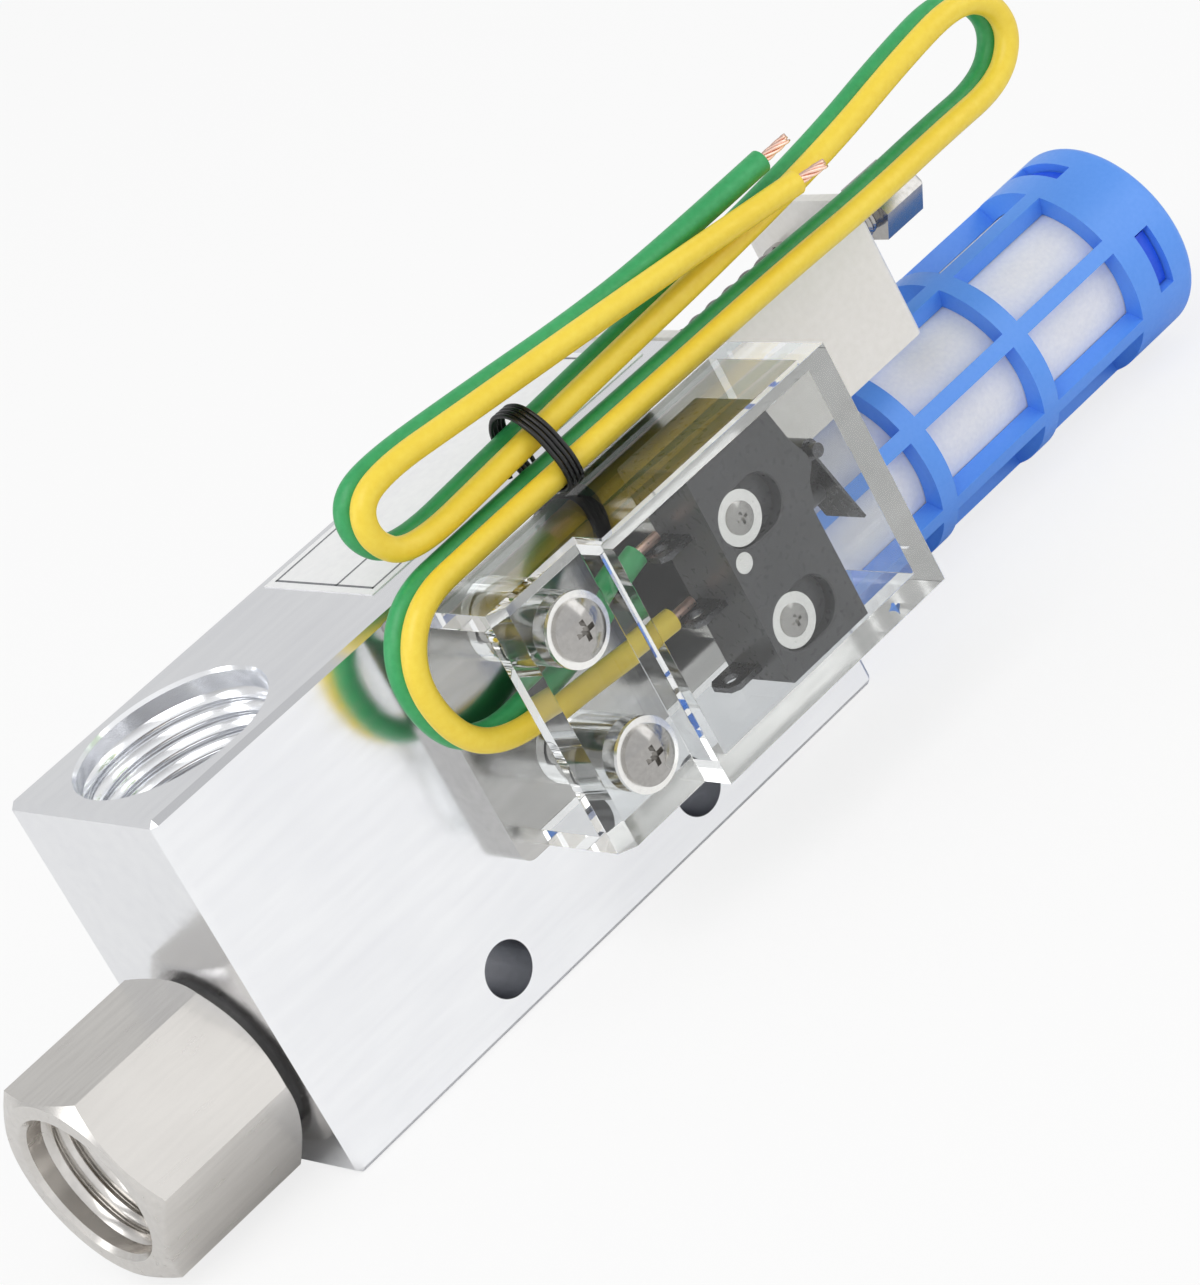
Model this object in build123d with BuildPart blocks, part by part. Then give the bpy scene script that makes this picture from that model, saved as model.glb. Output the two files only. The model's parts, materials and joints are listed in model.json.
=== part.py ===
from build123d import *
from math import cos, pi, radians, tan
import os

# Single-stage vacuum ejector with a vacuum switch under a clear cover.
# Millimetres, +Z up. X runs from the air inlet to the silencer, the switch side faces -Y.
# The origin is the centre of the narrow bottom face that the block rests on.

# Block
block_length = 63.2
block_width = 20.0
block_height = 34.2
block_chamfer = 0.5
end_x = block_length / 2
front_y = -block_width / 2
corner = Vector(end_x, front_y, block_height)

# Air path: inlet, nozzle, diffuser and silencer share one axis
axis_z = 10.2
socket_r = 6.6
inlet_socket_depth = 7.0
chamber_r = 5.5
chamber_end_x = 16.6 - end_x
diffuser_bore_r = 2.95
diffuser_mouth_length = 4.0
diffuser_throat_length = 6.0
diffuser_collar = 1.0
silencer_socket_depth = 10.0
stem_clearance = 0.1
stem_r = socket_r - stem_clearance
nozzle_clearance = 0.05
nozzle_length = 8.5
nozzle_flare = 2.0
nozzle_collar = 2.7

# Vacuum port on the top face
port_x = 10.3 - end_x
port_r = 8.33
port_rim_r = 8.5
port_depth = 13.0
port_throat_r = 4.5

# Mounting holes through the block
hole_r = 2.35
hole_pitch = 23.2
hole_z = 4.3

# Inlet fitting
nut_across_flats = 17.0
nut_length = 15.1
nut_gap = 0.65
nut_face_r = 8.3
nut_thread_r = 6.58
nut_thread_depth = 10.0
nut_rim_r = 6.95
nut_bore_r = 3.6
stem_length = 6.6
seal_outer_r = 7.4

# Silencer
cage_r = 9.4
cage_wall = 1.8
cage_length = 50.4
cage_collar = 2.9
cage_rib_angle = 8.7
cage_rib_count = 7
cage_rib_phase = 66.5
cage_ring = 1.95
cage_pitch = 13.95
cage_rows = 3
cage_end_fillet = 1.0
cap_wall = 1.1
cap_length = 7.0
snap_count = 4
snap_angle = 36.0
snap_width = 1.8
snap_from_end = 4.8
snap_clearance = 0.15
filter_wall = 2.4
filter_gap = 0.08
silencer_bore_r = 4.0

# Base plate and clear cover on the front face
plate_length = 38.7
plate_height = 22.7
plate_thick = 2.4
plate_corner_r = 1.2
plate_x1 = end_x + 0.1
plate_x0 = plate_x1 - plate_length
plate_z1 = block_height - 0.4
plate_z0 = plate_z1 - plate_height
plate_y = front_y - plate_thick
mid_z = (plate_z0 + plate_z1) / 2
cover_length = 26.7
cover_x0 = plate_x1 - cover_length
cover_height = 15.2
cover_wall = 1.6
cover_face_wall = 2.0
flange_length = 9.3
flange_x0 = cover_x0 - flange_length
flange_height = 12.1
flange_thick = 2.4
flange_chamfer = 1.2
flange_y = front_y - flange_height
boss_r = 3.0

# Cover screws
cover_screw_x = cover_x0 - 3.6
cover_screw_pitch = 11.9
cover_screw_r = 1.5
cover_screw_clearance = 0.1
cover_screw_length = 15.5
cover_head_r = 2.45
cover_head_h = 0.95
cover_head_rim = 0.3
cover_recess = 1.8
cover_recess_width = 0.45
washer_r = 3.05
washer_thick = 0.35

# Switch, held off the base plate by two spacers
case_width = 9.3
case_length = 19.3
case_depth = 7.0
case_x1 = end_x - 6.9
case_x0 = case_x1 - case_width
case_z0 = plate_z0 + cover_wall + 0.1
case_z1 = case_z0 + case_length
spacer_length = 3.5
spacer_r = 1.9
case_back_y = plate_y - spacer_length
case_y = case_back_y - case_depth
case_mid_y = case_back_y - case_depth / 2
case_fillet = 0.25
pocket_r = 2.4
pocket_stretch = 1.9
pocket_depth = 1.3
pocket_rim = 0.12
switch_screw_edge = 3.1
switch_screw_rise = 8.8
switch_screw_x = case_x0 + switch_screw_edge
switch_screw_z = case_z0 + switch_screw_rise
switch_screw_pitch = 9.8
switch_screw_r = 0.95
switch_screw_length = 15.0
switch_head_r = 1.35
switch_head_h = 0.35
switch_head_rim = 0.12
switch_recess = 1.1
switch_recess_width = 0.3
switch_washer_r = 2.25
switch_washer_thick = 0.4
lock_washer_r = 1.95
lock_washer_thick = 0.5
lock_washer_slit = 0.35
terminal_width = 3.3
terminal_thick = 0.5
terminal_length = 3.2
terminal_z0 = case_z0 + 1.5
terminal_pitch = 6.25
terminal_y = case_mid_y + 1.05
terminal_hole_r = 0.7
rivet_x = case_x0 + 1.2
rivet_z = case_z0 + 10.8
rivet_r = 0.85
button_z = case_z0 + 9.1
button_r = 0.8
button_rise = 3.85
button_fit = 0.05
button_depth = 2.2
lever_pin_x = case_x1 + 3.1
lever_pin_z = case_z0 + 13.5
lever_pin_r = 0.6
lever_pin_length = 10.3
lever_eye_r = 0.9
lever_fit = 0.05
lever_thick = 0.25
lever_width = 4.6
lever_drop = 7.9
lever_lean = 13.0

# Spring bracket and pressure setting
bracket_length = 20.6
bracket_width = 18.6
bracket_tab_width = 15.0
bracket_thick = 1.0
bracket_corner_r = 1.5
bracket_over_cage = 1.2
bracket_x0 = end_x
bracket_x1 = bracket_x0 + bracket_length
bracket_z0 = axis_z + cage_r + bracket_over_cage
bracket_z1 = block_height
bracket_tab_y = front_y + bracket_tab_width
bracket_foot_y = front_y + bracket_width
sense_z = block_height - 6.8
sense_bore_r = 5.0
sense_bore_depth = 11.0
sense_fit = 0.1
sense_travel = 1.5
sense_neck_r = 2.3
sense_land = 2.0
sense_groove = 1.6
passage_r = 0.9
spring_r = 3.2
spring_wire_r = 0.45
spring_turns = 6.25
spring_x0 = bracket_x0 + 4.3
spring_x1 = bracket_x1 - 2.9
plug_gap = 0.05
plug_flange_r = 3.3
plug_length = 2.6
plug_flange = 0.8
screw_r = 1.5
screw_fit = 0.05
screw_head_af = 5.0
screw_head_length = 5.2
screw_reach = 7.2
screw_grip = 2.0
bracket_screw_r = 1.2
bracket_screw_head_r = 2.0
bracket_screw_head_h = 1.4
bracket_screw_rise = 2.1
bracket_screw_edge = 3.4
bracket_screw_pitch = 12.9
bracket_screw_z = bracket_z0 + bracket_screw_rise

# Wires
wire_r = 1.02
core_r = 0.45
core_length = 3.5
wire_pitch_y = 2.1
wire_pitch_z = 0.1
tie_wire_r = 0.2
tie_turns = 4
tie_pitch = 0.45
tie_x = -20.7

os.makedirs("parts", exist_ok=True)


def save(piece, node):
    piece.label = node
    export_step(piece, f"parts/{node}.step")


def facing_x(x, y, z):
    return Plane(origin=(x, y, z), x_dir=(0, 1, 0), z_dir=(1, 0, 0))


def along_x(x, z):
    return facing_x(x, 0, z)


def from_front(x, y, z):
    return Plane(origin=(x, y, z), x_dir=(1, 0, 0), z_dir=(0, -1, 0))


axis_line = Axis((0, 0, axis_z), (1, 0, 0))
sense_line = Axis((0, 0, sense_z), (1, 0, 0))
hex_r = nut_across_flats / 2 / cos(radians(30))
holes_x = (-hole_pitch / 2, hole_pitch / 2)
cover_screw_z = (mid_z - cover_screw_pitch / 2, mid_z + cover_screw_pitch / 2)
switch_screws_z = (switch_screw_z - switch_screw_pitch / 2, switch_screw_z + switch_screw_pitch / 2)
bracket_screw_y0 = front_y + bracket_screw_edge
bracket_screw_y = (bracket_screw_y0, bracket_screw_y0 + bracket_screw_pitch)
terminals_z = [terminal_z0 + terminal_pitch * step for step in range(3)]


def domed_head(x, y, z, radius, height, rim):
    with BuildPart() as head:
        with BuildSketch(Plane(origin=(x, y, z), x_dir=(1, 0, 0), z_dir=(0, 0, 1))):
            with BuildLine():
                TangentArc((0, -height), (radius, -rim), tangent=(1, 0))
                Polyline((radius, -rim), (radius, 0), (0, 0), (0, -height))
            make_face()
        revolve(axis=Axis((x, y, z), (0, 1, 0)))
    return head.part


# Block with its ports, bores and screw holes
with BuildPart() as body_block:
    with BuildSketch(Plane.XY):
        Rectangle(block_length, block_width)
    extrude(amount=block_height)
    chamfer(body_block.edges(), length=block_chamfer)
    with BuildSketch(along_x(-end_x, axis_z)):
        Circle(socket_r)
    extrude(amount=inlet_socket_depth, mode=Mode.SUBTRACT)
    with BuildSketch(along_x(-end_x, axis_z)):
        Circle(chamber_r)
    extrude(amount=end_x + chamber_end_x, mode=Mode.SUBTRACT)
    with BuildSketch(along_x(-end_x, axis_z)):
        Circle(diffuser_bore_r)
    extrude(amount=block_length, mode=Mode.SUBTRACT)
    with BuildSketch(along_x(end_x, axis_z)):
        Circle(socket_r)
    extrude(amount=-silencer_socket_depth, mode=Mode.SUBTRACT)
    with BuildSketch(Plane.XY.offset(block_height)):
        with Locations((port_x, 0)):
            Circle(port_r)
    extrude(amount=-port_depth, mode=Mode.SUBTRACT)
    with BuildSketch(Plane.XY.offset(block_height)):
        with Locations((port_x, 0)):
            Circle(port_throat_r)
    extrude(amount=-(block_height - axis_z), mode=Mode.SUBTRACT)
    with BuildSketch(Plane.XY.offset(block_height)):
        with Locations((port_x, 0)):
            Circle(port_rim_r)
    extrude(amount=-(port_rim_r - port_r) * 2, taper=25, mode=Mode.SUBTRACT)
    with BuildSketch(along_x(end_x, sense_z)):
        Circle(sense_bore_r)
    extrude(amount=-sense_bore_depth, mode=Mode.SUBTRACT)
    with BuildSketch(along_x(end_x, sense_z)):
        Circle(passage_r)
    extrude(amount=port_x - end_x, mode=Mode.SUBTRACT)
    with BuildSketch(Plane.XZ.offset(-front_y)):
        with Locations(*[(x, hole_z) for x in holes_x]):
            Circle(hole_r)
    extrude(amount=-block_width, mode=Mode.SUBTRACT)
    with BuildSketch(Plane.XZ.offset(-front_y)):
        with Locations(*[(cover_screw_x, z) for z in cover_screw_z]):
            Circle(cover_screw_r + cover_screw_clearance)
    extrude(amount=-4.5, mode=Mode.SUBTRACT)
    with BuildSketch(Plane.XZ.offset(-front_y)):
        with Locations(*[(switch_screw_x, z) for z in switch_screws_z]):
            Circle(switch_screw_r + cover_screw_clearance)
    extrude(amount=-3.5, mode=Mode.SUBTRACT)
    with BuildSketch(along_x(end_x, bracket_screw_z)):
        with Locations(*[(y, 0) for y in bracket_screw_y]):
            Circle(bracket_screw_r + cover_screw_clearance)
    extrude(amount=-5.5, mode=Mode.SUBTRACT)
save(body_block.part, "body_block")

# Inlet fitting: chamfered hexagon, female thread bore and a stem in the block
nut_x1 = -end_x - nut_gap
nut_x0 = nut_x1 - nut_length
hex_drop = (hex_r - nut_face_r) * tan(radians(30))
with BuildPart() as inlet_fitting:
    with BuildSketch(along_x(nut_x0, axis_z)):
        RegularPolygon(hex_r, 6)
    extrude(amount=nut_length)
    with BuildSketch(Plane.XZ):
        with BuildLine():
            Polyline(
                (nut_x0, axis_z),
                (nut_x0, axis_z + nut_face_r),
                (nut_x0 + hex_drop, axis_z + hex_r),
                (nut_x1 - hex_drop, axis_z + hex_r),
                (nut_x1, axis_z + nut_face_r),
                (nut_x1, axis_z),
                close=True,
            )
        make_face()
    revolve(axis=axis_line, mode=Mode.INTERSECT)
    with BuildSketch(along_x(nut_x1, axis_z)):
        Circle(stem_r)
    extrude(amount=nut_gap + stem_length)
    with BuildSketch(Plane.XZ):
        with BuildLine():
            Polyline(
                (nut_x0, axis_z),
                (nut_x0, axis_z + nut_rim_r),
                (nut_x0 + 0.45, axis_z + nut_thread_r),
                (nut_x0 + nut_thread_depth, axis_z + nut_thread_r),
                (nut_x0 + nut_thread_depth + 1.5, axis_z + nut_bore_r),
                (nut_x1 + nut_gap + stem_length, axis_z + nut_bore_r),
                (nut_x1 + nut_gap + stem_length, axis_z),
                close=True,
            )
        make_face()
    revolve(axis=axis_line, mode=Mode.SUBTRACT)
save(inlet_fitting.part, "inlet_fitting")

# Sealing ring between the hexagon and the block
with BuildPart() as inlet_seal:
    with BuildSketch(along_x(-end_x, axis_z)):
        Circle(seal_outer_r)
        Circle(socket_r, mode=Mode.SUBTRACT)
    extrude(amount=-nut_gap)
save(inlet_seal.part, "inlet_seal")

# Motive nozzle behind the fitting, with an o-ring in its groove
nozzle_x0 = -end_x + inlet_socket_depth
nozzle_body_r = chamber_r - nozzle_clearance
with BuildPart() as motive_nozzle:
    with BuildSketch(Plane.XZ):
        with BuildLine():
            Polyline(
                (nozzle_x0, axis_z + 2.6),
                (nozzle_x0, axis_z + nozzle_body_r),
                (nozzle_x0 + 0.8, axis_z + nozzle_body_r),
                (nozzle_x0 + 0.8, axis_z + nozzle_body_r - 0.9),
                (nozzle_x0 + 1.9, axis_z + nozzle_body_r - 0.9),
                (nozzle_x0 + 1.9, axis_z + nozzle_body_r),
                (nozzle_x0 + nozzle_collar, axis_z + nozzle_body_r),
                (nozzle_x0 + nozzle_collar, axis_z + 2.4),
                (nozzle_x0 + nozzle_length, axis_z + 1.4),
                (nozzle_x0 + nozzle_length, axis_z + 0.75),
                (nozzle_x0 + nozzle_length - nozzle_flare, axis_z + 0.6),
                close=True,
            )
        make_face()
    revolve(axis=axis_line)
save(motive_nozzle.part, "motive_nozzle")

with BuildPart() as nozzle_ring:
    with BuildSketch(Plane.XZ):
        with Locations((nozzle_x0 + 1.35, axis_z + nozzle_body_r - 0.45)):
            Circle(0.44)
    revolve(axis=axis_line)
save(nozzle_ring.part, "nozzle_ring")

# Diffuser tube with a bell mouth and a collar in the silencer socket
diffuser_x0 = chamber_end_x + 0.3
diffuser_x1 = end_x - silencer_socket_depth + diffuser_collar
throat_x0 = diffuser_x0 + diffuser_mouth_length
with BuildPart() as diffuser:
    with BuildSketch(Plane.XZ):
        with BuildLine():
            Polyline(
                (diffuser_x0, axis_z + 2.3),
                (diffuser_x0, axis_z + diffuser_bore_r - nozzle_clearance),
                (diffuser_x1 - diffuser_collar, axis_z + diffuser_bore_r - nozzle_clearance),
                (diffuser_x1 - diffuser_collar, axis_z + stem_r),
                (diffuser_x1, axis_z + stem_r),
                (diffuser_x1, axis_z + 2.2),
                (throat_x0 + diffuser_throat_length, axis_z + 1.3),
                (throat_x0, axis_z + 1.3),
                close=True,
            )
        make_face()
    revolve(axis=axis_line)
save(diffuser.part, "diffuser")

# Silencer cage: collar, ribs, rings and a cap with snap slots
cage_x1 = end_x + cage_length
cap_x0 = cage_x1 - cap_length
cage_inner_r = cage_r - cage_wall
window_length = cage_pitch - cage_ring
window_angle = 360 / cage_rib_count - cage_rib_angle
snap_x = cage_x1 - snap_from_end
with BuildPart() as window_cutter:
    with BuildSketch(Plane.XZ):
        with Locations((0, axis_z + cage_r - 0.5)):
            Rectangle(window_length, 5.0, align=(Align.MIN, Align.CENTER))
    revolve(axis=axis_line, revolution_arc=window_angle)
with BuildPart() as snap_cutter:
    with BuildSketch(Plane.XZ):
        with Locations((snap_x, axis_z + cage_r)):
            Rectangle(snap_width, 3.2, align=(Align.MIN, Align.CENTER))
    revolve(axis=axis_line, revolution_arc=snap_angle)
with BuildPart() as silencer_cage:
    with BuildSketch(along_x(end_x, axis_z)):
        Circle(cage_r)
    extrude(amount=cage_length)
    fillet(silencer_cage.edges().group_by(Axis.X)[-1], radius=cage_end_fillet)
    with BuildSketch(along_x(end_x - silencer_socket_depth + 1.2, axis_z)):
        Circle(stem_r)
    extrude(amount=silencer_socket_depth)
    with BuildSketch(along_x(end_x - silencer_socket_depth, axis_z)):
        Circle(silencer_bore_r)
    extrude(amount=silencer_socket_depth + 5, mode=Mode.SUBTRACT)
    with BuildSketch(along_x(end_x + cage_collar, axis_z)):
        Circle(cage_inner_r)
    extrude(amount=cage_length, mode=Mode.SUBTRACT)
    with BuildSketch(along_x(cap_x0 + 0.6, axis_z)):
        Circle(cage_r - cap_wall)
    extrude(amount=cage_length, mode=Mode.SUBTRACT)
    for row in range(cage_rows):
        for rib in range(cage_rib_count):
            turn = cage_rib_phase + cage_rib_angle / 2 + rib * 360 / cage_rib_count
            cutter = window_cutter.part.rotate(axis_line, turn)
            add(cutter.translate((end_x + cage_collar + row * cage_pitch, 0, 0)), mode=Mode.SUBTRACT)
    for snap in range(snap_count):
        add(snap_cutter.part.rotate(axis_line, -snap_angle / 2 + snap * 90), mode=Mode.SUBTRACT)
save(silencer_cage.part, "silencer_cage")

# Filter tube inside the cage
with BuildPart() as silencer_filter:
    with BuildSketch(along_x(end_x + cage_collar, axis_z)):
        Circle(cage_inner_r - filter_gap)
        Circle(cage_inner_r - filter_gap - filter_wall, mode=Mode.SUBTRACT)
    extrude(amount=cap_x0 + 0.6 - end_x - cage_collar)
save(silencer_filter.part, "silencer_filter")

# End plug that snaps into the cap slots
plug_r = cage_r - cap_wall - snap_clearance
lug_angle = snap_angle - 3.0
with BuildPart() as lug:
    with BuildSketch(Plane.XZ):
        with Locations((snap_x + snap_clearance, axis_z + plug_r - 0.5)):
            Rectangle(snap_width - 2 * snap_clearance, 1.0, align=(Align.MIN, Align.MIN))
    revolve(axis=axis_line, revolution_arc=lug_angle)
with BuildPart() as silencer_plug:
    with BuildSketch(along_x(cap_x0 + 0.6, axis_z)):
        Circle(plug_r)
    extrude(amount=cap_length - 1.6)
    with BuildSketch(along_x(cap_x0 + 2.4, axis_z)):
        Circle(plug_r - 1.4)
    extrude(amount=cap_length, mode=Mode.SUBTRACT)
    for snap in range(snap_count):
        add(lug.part.rotate(axis_line, -lug_angle / 2 + snap * 90))
save(silencer_plug.part, "silencer_plug")

# Base plate on the front face
with BuildPart() as base_plate:
    with BuildSketch(from_front(0, front_y, 0)):
        with Locations(((plate_x0 + plate_x1) / 2, mid_z)):
            Rectangle(plate_x1 - plate_x0, plate_z1 - plate_z0)
    extrude(amount=plate_thick)
    fillet(base_plate.edges().filter_by(Axis.Y), radius=plate_corner_r)
    with BuildSketch(from_front(0, front_y, 0)):
        with Locations(*[(cover_screw_x, z) for z in cover_screw_z]):
            Circle(cover_screw_r + cover_screw_clearance)
        with Locations(*[(switch_screw_x, z) for z in switch_screws_z]):
            Circle(switch_screw_r + cover_screw_clearance)
    extrude(amount=plate_thick, mode=Mode.SUBTRACT)
save(base_plate.part, "base_plate")

# Clear cover: a box over the switch and a lower flange with two screw bosses
inner_z0 = plate_z0 + cover_wall
inner_z1 = plate_z1 - cover_wall
inner_x1 = cover_x0 + cover_wall
with BuildPart() as clear_cover:
    with BuildSketch(from_front(0, plate_y, 0)):
        with Locations((cover_x0, mid_z)):
            Rectangle(plate_x1 - cover_x0, plate_z1 - plate_z0, align=(Align.MIN, Align.CENTER))
    extrude(amount=cover_height - plate_thick)
    with BuildSketch(from_front(0, plate_y, 0)):
        with Locations((flange_x0, mid_z)):
            Rectangle(cover_x0 - flange_x0, plate_z1 - plate_z0, align=(Align.MIN, Align.CENTER))
    extrude(amount=flange_height - plate_thick)
    flange_edge = clear_cover.edges().filter_by(Axis.Z).group_by(Axis.X)[0].sort_by(Axis.Y)[0]
    chamfer(flange_edge, length=flange_chamfer)
    with BuildSketch(from_front(0, plate_y, 0)):
        with Locations((inner_x1, mid_z)):
            Rectangle(
                plate_x1 - cover_wall - inner_x1,
                inner_z1 - inner_z0,
                align=(Align.MIN, Align.CENTER),
            )
    extrude(amount=cover_height - plate_thick - cover_face_wall, mode=Mode.SUBTRACT)
    with BuildSketch(from_front(0, plate_y, 0)):
        with Locations((flange_x0, mid_z)):
            Rectangle(inner_x1 + 1 - flange_x0, inner_z1 - inner_z0, align=(Align.MIN, Align.CENTER))
    extrude(amount=flange_height - plate_thick - flange_thick, mode=Mode.SUBTRACT)
    with BuildSketch(from_front(0, plate_y, 0)):
        with Locations(*[(cover_screw_x, z) for z in cover_screw_z]):
            Circle(boss_r)
    extrude(amount=flange_height - plate_thick - flange_thick + 0.5)
    with BuildSketch(from_front(0, plate_y, 0)):
        with Locations(*[(cover_screw_x, z) for z in cover_screw_z]):
            Circle(cover_screw_r + cover_screw_clearance)
    extrude(amount=flange_height, mode=Mode.SUBTRACT)
save(clear_cover.part, "clear_cover")

# Cross-recessed domed screws and flat washers that hold the cover
for number, z in enumerate(cover_screw_z, start=1):
    head_y = flange_y - washer_thick
    cover_head = domed_head(cover_screw_x, head_y, z, cover_head_r, cover_head_h, cover_head_rim)
    with BuildPart() as cover_screw:
        add(cover_head)
        with BuildSketch(from_front(cover_screw_x, head_y, z)):
            Circle(cover_screw_r)
        extrude(amount=-cover_screw_length)
        with BuildSketch(from_front(cover_screw_x, head_y - cover_head_h, z)):
            Rectangle(cover_recess, cover_recess_width)
            Rectangle(cover_recess_width, cover_recess)
        extrude(amount=-0.6, mode=Mode.SUBTRACT)
    save(cover_screw.part, f"cover_screw_{number}")
    with BuildPart() as cover_washer:
        with BuildSketch(from_front(cover_screw_x, flange_y, z)):
            Circle(washer_r)
            Circle(cover_screw_r + cover_screw_clearance, mode=Mode.SUBTRACT)
        extrude(amount=washer_thick)
    save(cover_washer.part, f"cover_washer_{number}")

# Switch case with a lug for the lever, and obround pockets around its two fixing holes
lug_outline = (
    (case_x1 - 1.0, case_z0 + 10.1),
    (case_x1, case_z0 + 10.1),
    (case_x1 + 0.4, case_z0 + 10.7),
    (case_x1 + 0.9, case_z0 + 12.1),
    (case_x1 + 1.9, case_z0 + 13.2),
    (case_x1 + 1.8, case_z0 + 14.1),
    (case_x1 + 1.0, case_z0 + 16.0),
    (case_x1 + 0.3, case_z1),
    (case_x1 - 1.0, case_z1),
)
with BuildPart() as switch_case:
    with BuildSketch(from_front(0, case_back_y, 0)):
        with Locations(((case_x0 + case_x1) / 2, (case_z0 + case_z1) / 2)):
            Rectangle(case_width, case_length)
        with BuildLine():
            Polyline(*lug_outline, close=True)
        make_face()
    extrude(amount=case_depth)
    fillet(switch_case.edges().filter_by(Axis.Y).group_by(Axis.X)[0], radius=case_fillet)
    with BuildSketch(from_front(0, case_y, 0)):
        with Locations(*[(switch_screw_x + pocket_stretch / 2, z) for z in switch_screws_z]):
            SlotCenterToCenter(pocket_stretch, 2 * pocket_r)
    extrude(amount=-pocket_depth, mode=Mode.SUBTRACT)
    case_front = switch_case.faces().sort_by(Axis.Y)[0]
    pocket_rims = [edge for wire in case_front.inner_wires() for edge in wire.edges()]
    chamfer(pocket_rims, length=pocket_rim)
    with BuildSketch(from_front(0, case_y, 0)):
        with Locations(*[(switch_screw_x, z) for z in switch_screws_z]):
            Circle(switch_screw_r + cover_screw_clearance)
    extrude(amount=-case_depth, mode=Mode.SUBTRACT)
    with BuildSketch(facing_x(case_x1, case_mid_y, button_z)):
        Circle(button_r + button_fit)
    extrude(amount=-button_depth - 1.0, mode=Mode.SUBTRACT)
    with BuildSketch(from_front(rivet_x, case_y, rivet_z)):
        Circle(rivet_r)
    extrude(amount=-1.0, mode=Mode.SUBTRACT)
save(switch_case.part, "switch_case")

for number, z in enumerate(switch_screws_z, start=1):
    with BuildPart() as switch_spacer:
        with BuildSketch(from_front(switch_screw_x, plate_y, z)):
            Circle(spacer_r)
            Circle(switch_screw_r + cover_screw_clearance, mode=Mode.SUBTRACT)
        extrude(amount=spacer_length)
    save(switch_spacer.part, f"switch_spacer_{number}")

with BuildPart() as case_rivet:
    with BuildSketch(from_front(rivet_x, case_y + 1.0, rivet_z)):
        Circle(rivet_r)
    extrude(amount=1.1)
save(case_rivet.part, "case_rivet")

# Button that the lever presses
with BuildPart() as switch_button:
    with BuildSketch(facing_x(case_x1 - button_depth, case_mid_y, button_z)):
        Circle(button_r)
    extrude(amount=button_depth + button_rise)
    fillet(switch_button.edges().group_by(Axis.X)[-1], radius=0.4)
save(switch_button.part, "switch_button")

# Lever pin standing on the base plate, and the sheet lever that curls around it
with BuildPart() as lever_pin:
    with BuildSketch(from_front(lever_pin_x, plate_y, lever_pin_z)):
        Circle(lever_pin_r)
    extrude(amount=lever_pin_length)
save(lever_pin.part, "lever_pin")

with BuildPart() as switch_lever:
    with BuildSketch(from_front(lever_pin_x, case_mid_y + lever_width / 2, lever_pin_z)):
        Circle(lever_eye_r)
        with Locations(Location((0, 0, 0), (0, 0, lever_lean))):
            Rectangle(lever_thick, lever_drop, align=(Align.CENTER, Align.MAX))
        Circle(lever_pin_r + lever_fit, mode=Mode.SUBTRACT)
    extrude(amount=lever_width)
save(switch_lever.part, "switch_lever")

# Switch screws with flat and lock washers
for number, z in enumerate(switch_screws_z, start=1):
    lock_y = case_y + pocket_depth
    flat_y = lock_y - lock_washer_thick
    head_y = flat_y - switch_washer_thick
    with BuildPart() as lock_washer:
        with BuildSketch(from_front(switch_screw_x, lock_y, z)):
            Circle(lock_washer_r)
            Circle(switch_screw_r + cover_screw_clearance, mode=Mode.SUBTRACT)
            with Locations(Location((0, 0, 0), (0, 0, 30))):
                Rectangle(
                    2 * lock_washer_r,
                    lock_washer_slit,
                    align=(Align.MAX, Align.CENTER),
                    mode=Mode.SUBTRACT,
                )
        extrude(amount=lock_washer_thick)
    save(lock_washer.part, f"lock_washer_{number}")
    with BuildPart() as switch_washer:
        with BuildSketch(from_front(switch_screw_x, flat_y, z)):
            Circle(switch_washer_r)
            Circle(switch_screw_r + cover_screw_clearance, mode=Mode.SUBTRACT)
        extrude(amount=switch_washer_thick)
    save(switch_washer.part, f"switch_washer_{number}")
    switch_head = domed_head(switch_screw_x, head_y, z, switch_head_r, switch_head_h, switch_head_rim)
    with BuildPart() as switch_screw:
        add(switch_head)
        with BuildSketch(from_front(switch_screw_x, head_y, z)):
            Circle(switch_screw_r)
        extrude(amount=-switch_screw_length)
        with BuildSketch(from_front(switch_screw_x, head_y - switch_head_h, z)):
            Rectangle(switch_recess, switch_recess_width)
            Rectangle(switch_recess_width, switch_recess)
        extrude(amount=-0.25, mode=Mode.SUBTRACT)
    save(switch_screw.part, f"switch_screw_{number}")

# Three blade terminals with solder holes
for number, z in enumerate(terminals_z, start=1):
    with BuildPart() as terminal:
        with BuildSketch(Plane.XY.offset(z - terminal_thick / 2)) as terminal_outline:
            with Locations((case_x0, terminal_y)):
                Rectangle(terminal_length, terminal_width, align=(Align.MAX, Align.CENTER))
            chamfer(terminal_outline.vertices().group_by(Axis.X)[0], length=0.6)
            with Locations((case_x0 - terminal_length + 1.2, terminal_y)):
                Circle(terminal_hole_r, mode=Mode.SUBTRACT)
        extrude(amount=terminal_thick)
    save(terminal.part, f"terminal_{number}")

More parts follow.
